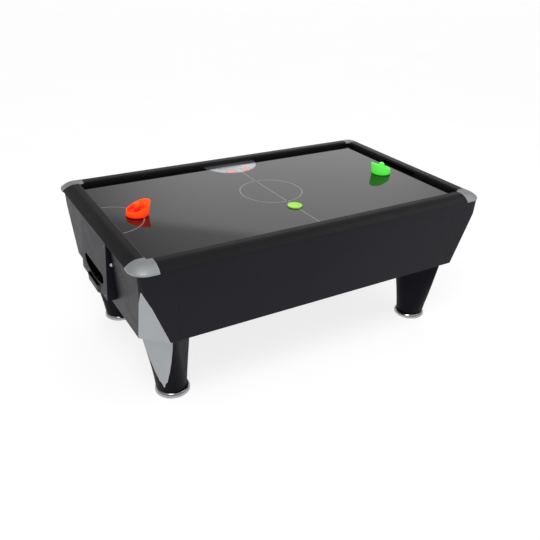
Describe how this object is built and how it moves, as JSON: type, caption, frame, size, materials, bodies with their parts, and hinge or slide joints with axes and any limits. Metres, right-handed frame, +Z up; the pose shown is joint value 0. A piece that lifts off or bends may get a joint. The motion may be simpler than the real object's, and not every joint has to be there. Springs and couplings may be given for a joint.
{
  "type": "air hockey table",
  "caption": "Two-player air hockey table: black tapered cabinet on round-footed legs, silver corners, rounded rails, gloss field, electric score panel, puck returns, mallets and puck.",
  "frame": {"origin": "on the floor under the middle of the table, midway between the four feet", "axes": "+X along the table towards the end with the green mallet, +Y across it towards the score panel, +Z up"},
  "size_m": [2.16, 1.282, 0.9013],
  "materials": {
    "cabinet_black": "black satin film on board",
    "rail_black": "black satin wrap over a rounded rail",
    "satin_silver": "satin, cast caps",
    "silver_laminate": "brushed plate",
    "chrome": "polished",
    "field_gloss": "mirror-smooth dark laminate with a grid of air holes",
    "score_grey": "smooth printed panel",
    "led_red": "translucent red",
    "black_plastic": "satin moulded",
    "inner_board": "bare board",
    "galvanised": "dull zinc",
    "motor_grey": "grey enamel",
    "mallet_orange": "bright fluorescent",
    "mallet_green": "bright fluorescent",
    "puck_lime": "bright fluorescent"
  },
  "bodies": {
    "cabinet": {"side_panel_front": "cabinet_black", "side_panel_back": "cabinet_black", "end_panel_left": "cabinet_black", "end_panel_right": "cabinet_black", "corner_post_front_left": "cabinet_black", "corner_post_front_right": "cabinet_black", "corner_post_back_left": "cabinet_black", "corner_post_back_right": "cabinet_black", "corner_flash_front_left": "silver_laminate", "corner_flash_front_right": "silver_laminate", "corner_flash_back_left": "silver_laminate", "corner_flash_back_right": "silver_laminate", "leg_front_left": "cabinet_black", "leg_front_right": "cabinet_black", "leg_back_left": "cabinet_black", "leg_back_right": "cabinet_black", "leg_flash_front_left": "silver_laminate", "leg_flash_front_right": "silver_laminate", "leg_flash_back_left": "silver_laminate", "leg_flash_back_right": "silver_laminate", "rail_front": "rail_black", "rail_back": "rail_black", "rail_left": "rail_black", "rail_right": "rail_black", "corner_cap_front_left": "satin_silver", "corner_cap_front_right": "satin_silver", "corner_cap_back_left": "satin_silver", "corner_cap_back_right": "satin_silver", "rebound_strip_front": "black_plastic", "rebound_strip_back": "black_plastic", "rebound_strip_left": "black_plastic", "rebound_strip_right": "black_plastic", "playfield": "field_gloss", "air_chamber": "inner_board", "support_frame": "inner_board", "base_panel": "cabinet_black", "blower_housing": "galvanised", "blower_motor": "motor_grey", "intake_guard": "black_plastic", "score_panel": "score_grey", "score_digits": "led_red", "power_socket": "black_plastic", "goal_chute_left": "galvanised", "goal_chute_right": "galvanised", "return_housing_left": "cabinet_black", "return_housing_right": "cabinet_black", "catch_tray_left": "black_plastic", "catch_tray_right": "black_plastic"},
    "impeller": {"blower_impeller": "galvanised"},
    "rocker": {"power_rocker": "led_red"},
    "button_left": {"start_button_left": "chrome"},
    "button_right": {"start_button_right": "chrome"},
    "mallet_orange": {"mallet_left": "mallet_orange"},
    "mallet_green": {"mallet_right": "mallet_green"},
    "puck": {"puck": "puck_lime"},
    "foot_front_left": {"foot_front_left": "chrome"},
    "foot_front_right": {"foot_front_right": "chrome"},
    "foot_back_left": {"foot_back_left": "chrome"},
    "foot_back_right": {"foot_back_right": "chrome"}
  },
  "joints": [
    {"name": "impeller_spin", "type": "hinge", "parent": "cabinet", "child": "impeller", "pos_m": [0, 0.25, 0.495], "axis": [0, 0, 1], "continuous": true},
    {"name": "rocker_tilt", "type": "hinge", "parent": "cabinet", "child": "rocker", "pos_m": [0.568, 0.45, 0.4257], "axis": [1, 0, 0], "range_deg": [-16, 0]},
    {"name": "button_left_press", "type": "slide", "parent": "cabinet", "child": "button_left", "axis": [1, 0, 0], "range_m": [0, 0.003], "stiffness_N_per_m": 400},
    {"name": "button_right_press", "type": "slide", "parent": "cabinet", "child": "button_right", "axis": [-1, 0, 0], "range_m": [0, 0.003], "stiffness_N_per_m": 400},
    {"name": "mallet_orange_slide", "type": "slide", "parent": "cabinet", "child": "mallet_orange", "axis": [1, 0, 0], "range_m": [-0.09, 0.736]},
    {"name": "mallet_green_slide", "type": "slide", "parent": "cabinet", "child": "mallet_green", "axis": [1, 0, 0], "range_m": [-0.719, 0.107]},
    {"name": "puck_slide", "type": "slide", "parent": "cabinet", "child": "puck", "axis": [1, 0, 0], "range_m": [-0.88, 0.88]},
    {"name": "foot_front_left_turn", "type": "hinge", "parent": "cabinet", "child": "foot_front_left", "pos_m": [-0.815, -0.415, 0.05], "axis": [0, 0, 1], "continuous": true},
    {"name": "foot_front_right_turn", "type": "hinge", "parent": "cabinet", "child": "foot_front_right", "pos_m": [0.815, -0.415, 0.05], "axis": [0, 0, 1], "continuous": true},
    {"name": "foot_back_left_turn", "type": "hinge", "parent": "cabinet", "child": "foot_back_left", "pos_m": [-0.815, 0.415, 0.05], "axis": [0, 0, 1], "continuous": true},
    {"name": "foot_back_right_turn", "type": "hinge", "parent": "cabinet", "child": "foot_back_right", "pos_m": [0.815, 0.415, 0.05], "axis": [0, 0, 1], "continuous": true}
  ]
}
